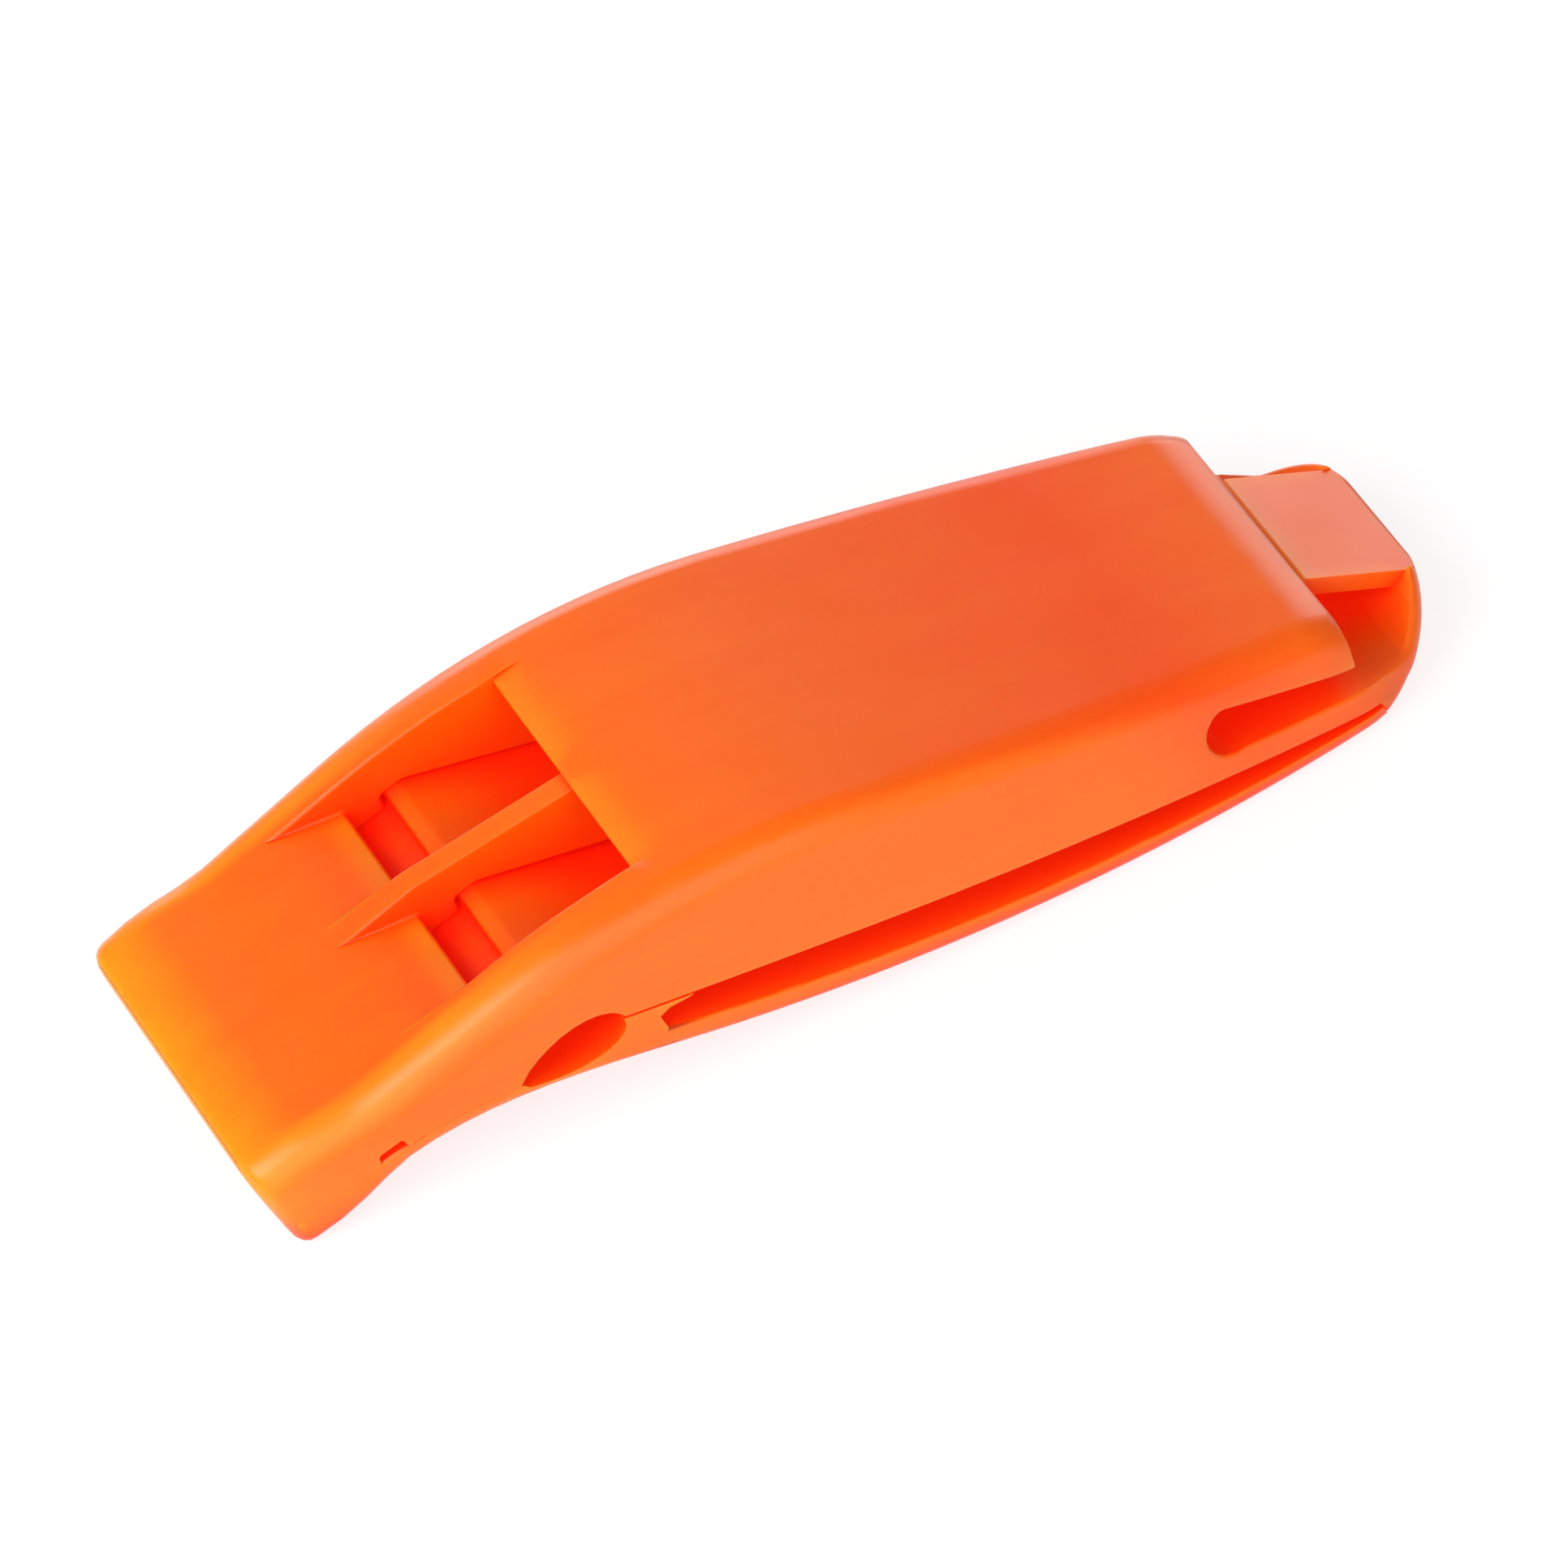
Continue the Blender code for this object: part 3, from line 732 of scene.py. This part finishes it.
    def build(self, frame: dict) -> bpy.types.Object:
        """Makes the piece and lets it stand for its solid.


        Returns:
            The finished piece.
        """
        piece = self.copy(frame, self.node)
        for seat in self.seats:
            self.close_joint(piece, frame["nodes"][seat], -UPWARD)
        self.round_edges(piece, frame)
        self.dress(piece)
        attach(piece, self.body)
        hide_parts(self.node)
        return piece


@dataclass
class ClipMoulding(Moulding):
    """Lower strip, post and belt clip as the one sprung moulding that they are."""

    arm_node: str = "clip_arm"
    roof_node: str = "body_shell"
    end_facing: float = 0.9
    root_reach: float = 0.45 * MM
    tip_reach: float = 0.30 * MM
    bend: Span = (-0.6 * MM, 8.0 * MM)

    def lengthen(self, piece: bpy.types.Object, outward: Vector, reach: float) -> None:
        """Slides one end of the arm onward along its own side edges.

        Args:
            piece: the arm.
            outward: the way the end faces.
            reach: how far the end goes.
        """
        with editing(piece) as mesh:
            faces = [face for face in mesh.faces if face.normal.dot(outward) > self.end_facing]
            for vert in {vert for face in faces for vert in face.verts}:
                runs = [vert.co - edge.other_vert(vert).co for edge in vert.link_edges]
                along = max((run.normalized() for run in runs), key=outward.dot)
                vert.co += along * reach / along.dot(outward)
            bmesh.update_edit_mesh(piece.data)

    def build(self, frame: dict) -> bpy.types.Object:
        """Joins strip and arm into one piece, the arm's root reaching into the post.

        Returns:
            The finished piece.
        """
        piece = self.copy(frame, self.node)
        self.close_joint(piece, frame["nodes"][self.roof_node], UPWARD)
        arm = self.copy(frame, self.arm_node)
        self.lengthen(arm, -ALONG, self.root_reach)
        self.lengthen(arm, ALONG, self.tip_reach)
        only(piece)
        step = piece.modifiers.new("joined", "BOOLEAN")
        step.operation = "UNION"
        step.object = arm
        bpy.ops.object.modifier_apply(modifier=step.name)
        bpy.data.objects.remove(arm)
        self.clean(piece)
        self.round_edges(piece, frame)
        self.dress(piece)
        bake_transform(piece)
        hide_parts(self.node, self.arm_node)
        return piece


@dataclass(frozen=True)
class SoftBox:
    """One square lamp with a diffuser."""

    name: str
    place: Place
    size: float
    power: float
    target: Place = (0.0, 0.0, 0.008)

    def hang(self) -> None:
        """Adds the lamp to the scene."""
        light = bpy.data.lights.new(self.name, "AREA")
        light.shape = "SQUARE"
        light.size = self.size
        light.energy = self.power
        lamp = bpy.data.objects.new(self.name, light)
        lamp.location = self.place
        view = Vector(self.target) - Vector(self.place)
        lamp.rotation_euler = view.to_track_quat("-Z", "Y").to_euler()
        bpy.context.scene.collection.objects.link(lamp)


@dataclass(frozen=True)
class Studio:
    """White floor, soft boxes and the camera at the photograph's viewing angle."""

    azimuth: float = math.radians(-17.92)
    elevation: float = math.radians(44.18)
    roll: float = math.radians(12.43)
    distance: float = 0.749
    frame_width: float = 0.08646
    aim: Place = (0.0005, 0.0, 0.0055)
    aim_shift: Span = (-0.0002, -0.0001)
    sensor_mm: float = 36.0
    nearest: float = 0.01
    floor_size: float = 6.0
    floor_level: float = 1.04
    floor_glow: float = 0.80
    floor_bounce: float = 0.82
    sky: float = 0.26
    lamps: tuple[SoftBox, ...] = (
        SoftBox("key", (-0.240, -0.10, 0.250), 0.22, 0.78, (-0.03, 0.0, 0.01)),
        SoftBox("mouth_card", (-0.85, -0.10, 0.60), 1.10, 2.5),
        SoftBox("front_card", (-0.14, -0.90, 0.50), 1.10, 6.0),
        SoftBox("tail_card", (0.71, 0.69, 0.18), 0.42, 1.7),
        SoftBox("far_card", (0.20, 0.90, 0.26), 0.50, 2.6),
    )

    def camera(self) -> None:
        """Places the camera, turned about its own axis as in the photograph."""
        level = Vector((math.cos(self.azimuth), math.sin(self.azimuth), 0))
        ahead = Vector((-math.sin(self.azimuth), math.cos(self.azimuth), 0))
        back = Vector((0, 0, math.sin(self.elevation))) - ahead * math.cos(self.elevation)
        up = back.cross(level) * math.cos(self.roll) + level * math.sin(self.roll)
        right = up.cross(back)
        aim = Vector(self.aim) + right * self.aim_shift[0] + up * self.aim_shift[1]
        lens = bpy.data.cameras.new("photo_view")
        lens.sensor_width = self.sensor_mm
        lens.lens = self.sensor_mm * self.distance / self.frame_width
        lens.clip_start = self.nearest
        camera = bpy.data.objects.new("photo_view", lens)
        turn = Matrix((right, up, back)).transposed().to_4x4()
        camera.matrix_world = Matrix.Translation(aim + back * self.distance) @ turn
        bpy.context.scene.collection.objects.link(camera)
        bpy.context.scene.camera = camera

    def paper(self) -> bpy.types.Material:
        """Builds white paper that stays white to the eye and in the gloss, and keeps a shadow.

        Returns:
            The finished material.
        """
        made = bpy.data.materials.new("white_paper")
        made.use_nodes = True
        tree = made.node_tree
        tree.nodes.clear()
        path = add_node(tree, "ShaderNodeLightPath")
        seen = calculate(tree, "MAXIMUM", path.outputs["Is Camera Ray"], path.outputs["Is Glossy Ray"])
        glow = add_node(tree, "ShaderNodeEmission", {"Strength": self.floor_glow})
        shade_grey = self.floor_level - self.floor_glow
        shade = add_node(tree, "ShaderNodeBsdfDiffuse", {"Color": (*(shade_grey,) * 3, 1)})
        white = add_node(tree, "ShaderNodeAddShader", {0: glow.outputs[0], 1: shade.outputs[0]})
        bounce = add_node(tree, "ShaderNodeBsdfDiffuse", {"Color": (*(self.floor_bounce,) * 3, 1)})
        choice = add_node(
            tree, "ShaderNodeMixShader", {0: seen, 1: bounce.outputs[0], 2: white.outputs[0]}
        )
        add_node(tree, "ShaderNodeOutputMaterial", {"Surface": choice.outputs[0]})
        return made

    def floor(self) -> None:
        """Lays the paper under the whistle."""
        bpy.ops.object.select_all(action="DESELECT")
        bpy.ops.mesh.primitive_plane_add(size=self.floor_size)
        floor = bpy.context.view_layer.objects.active
        floor.name = "floor"
        floor.data.materials.append(self.paper())

    def light(self) -> None:
        """Sets the dim white surround and hangs the lamps."""
        world = bpy.data.worlds.new("studio")
        world.use_nodes = True
        surround = world.node_tree.nodes["Background"]
        surround.inputs["Color"].default_value = (1, 1, 1, 1)
        surround.inputs["Strength"].default_value = self.sky
        bpy.context.scene.world = world
        for lamp in self.lamps:
            lamp.hang()

    def build(self) -> None:
        """Sets up floor, light, camera and the plain view transform."""
        self.floor()
        self.light()
        self.camera()
        bpy.context.scene.view_settings.view_transform = "Standard"


def main() -> None:
    """Builds the whistle's looks and the studio round it."""
    logging.basicConfig(level=logging.INFO, format="%(name)s: %(message)s")
    for old in list(bpy.data.objects):
        bpy.data.objects.remove(old)
    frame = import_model()
    upper, lower, inner = (plastic.material() for plastic in (UPPER_ABS, CLIP_ABS, INNER_SHADED_ABS))
    mouldings: list[Moulding] = [
        Moulding(
            "body_shell", "upper_moulding", "base", "body_plastic", upper,
            crisp_spots=(BAR_RIM, NOSE_RIM, REAR_RIM, EYE_RIM, LABIUM_RIM),
            mates=("clip_base",), seats=("windway_insert",),
        ),
        Moulding(
            "windway_insert", "windway_block", "base", "insert_plastic", inner,
            crisp_spots=(INSERT_RIM,),
        ),
        Moulding("chamber_floor", "chamber_plate", "base", "floor_plastic", inner),
        ClipMoulding(
            "clip_base", "clip_moulding", "base", "base_plastic", lower,
            crisp_spots=(SLOT_RIM, POST_RIM), drawn_spots=(NOTCH,), mates=("body_shell",),
        ),
    ]
    for moulding in mouldings:
        piece = moulding.build(frame)
        log.info("%s: %d faces", piece.name, len(piece.data.polygons))
    Studio().build()


if __name__ == "__main__":
    main()
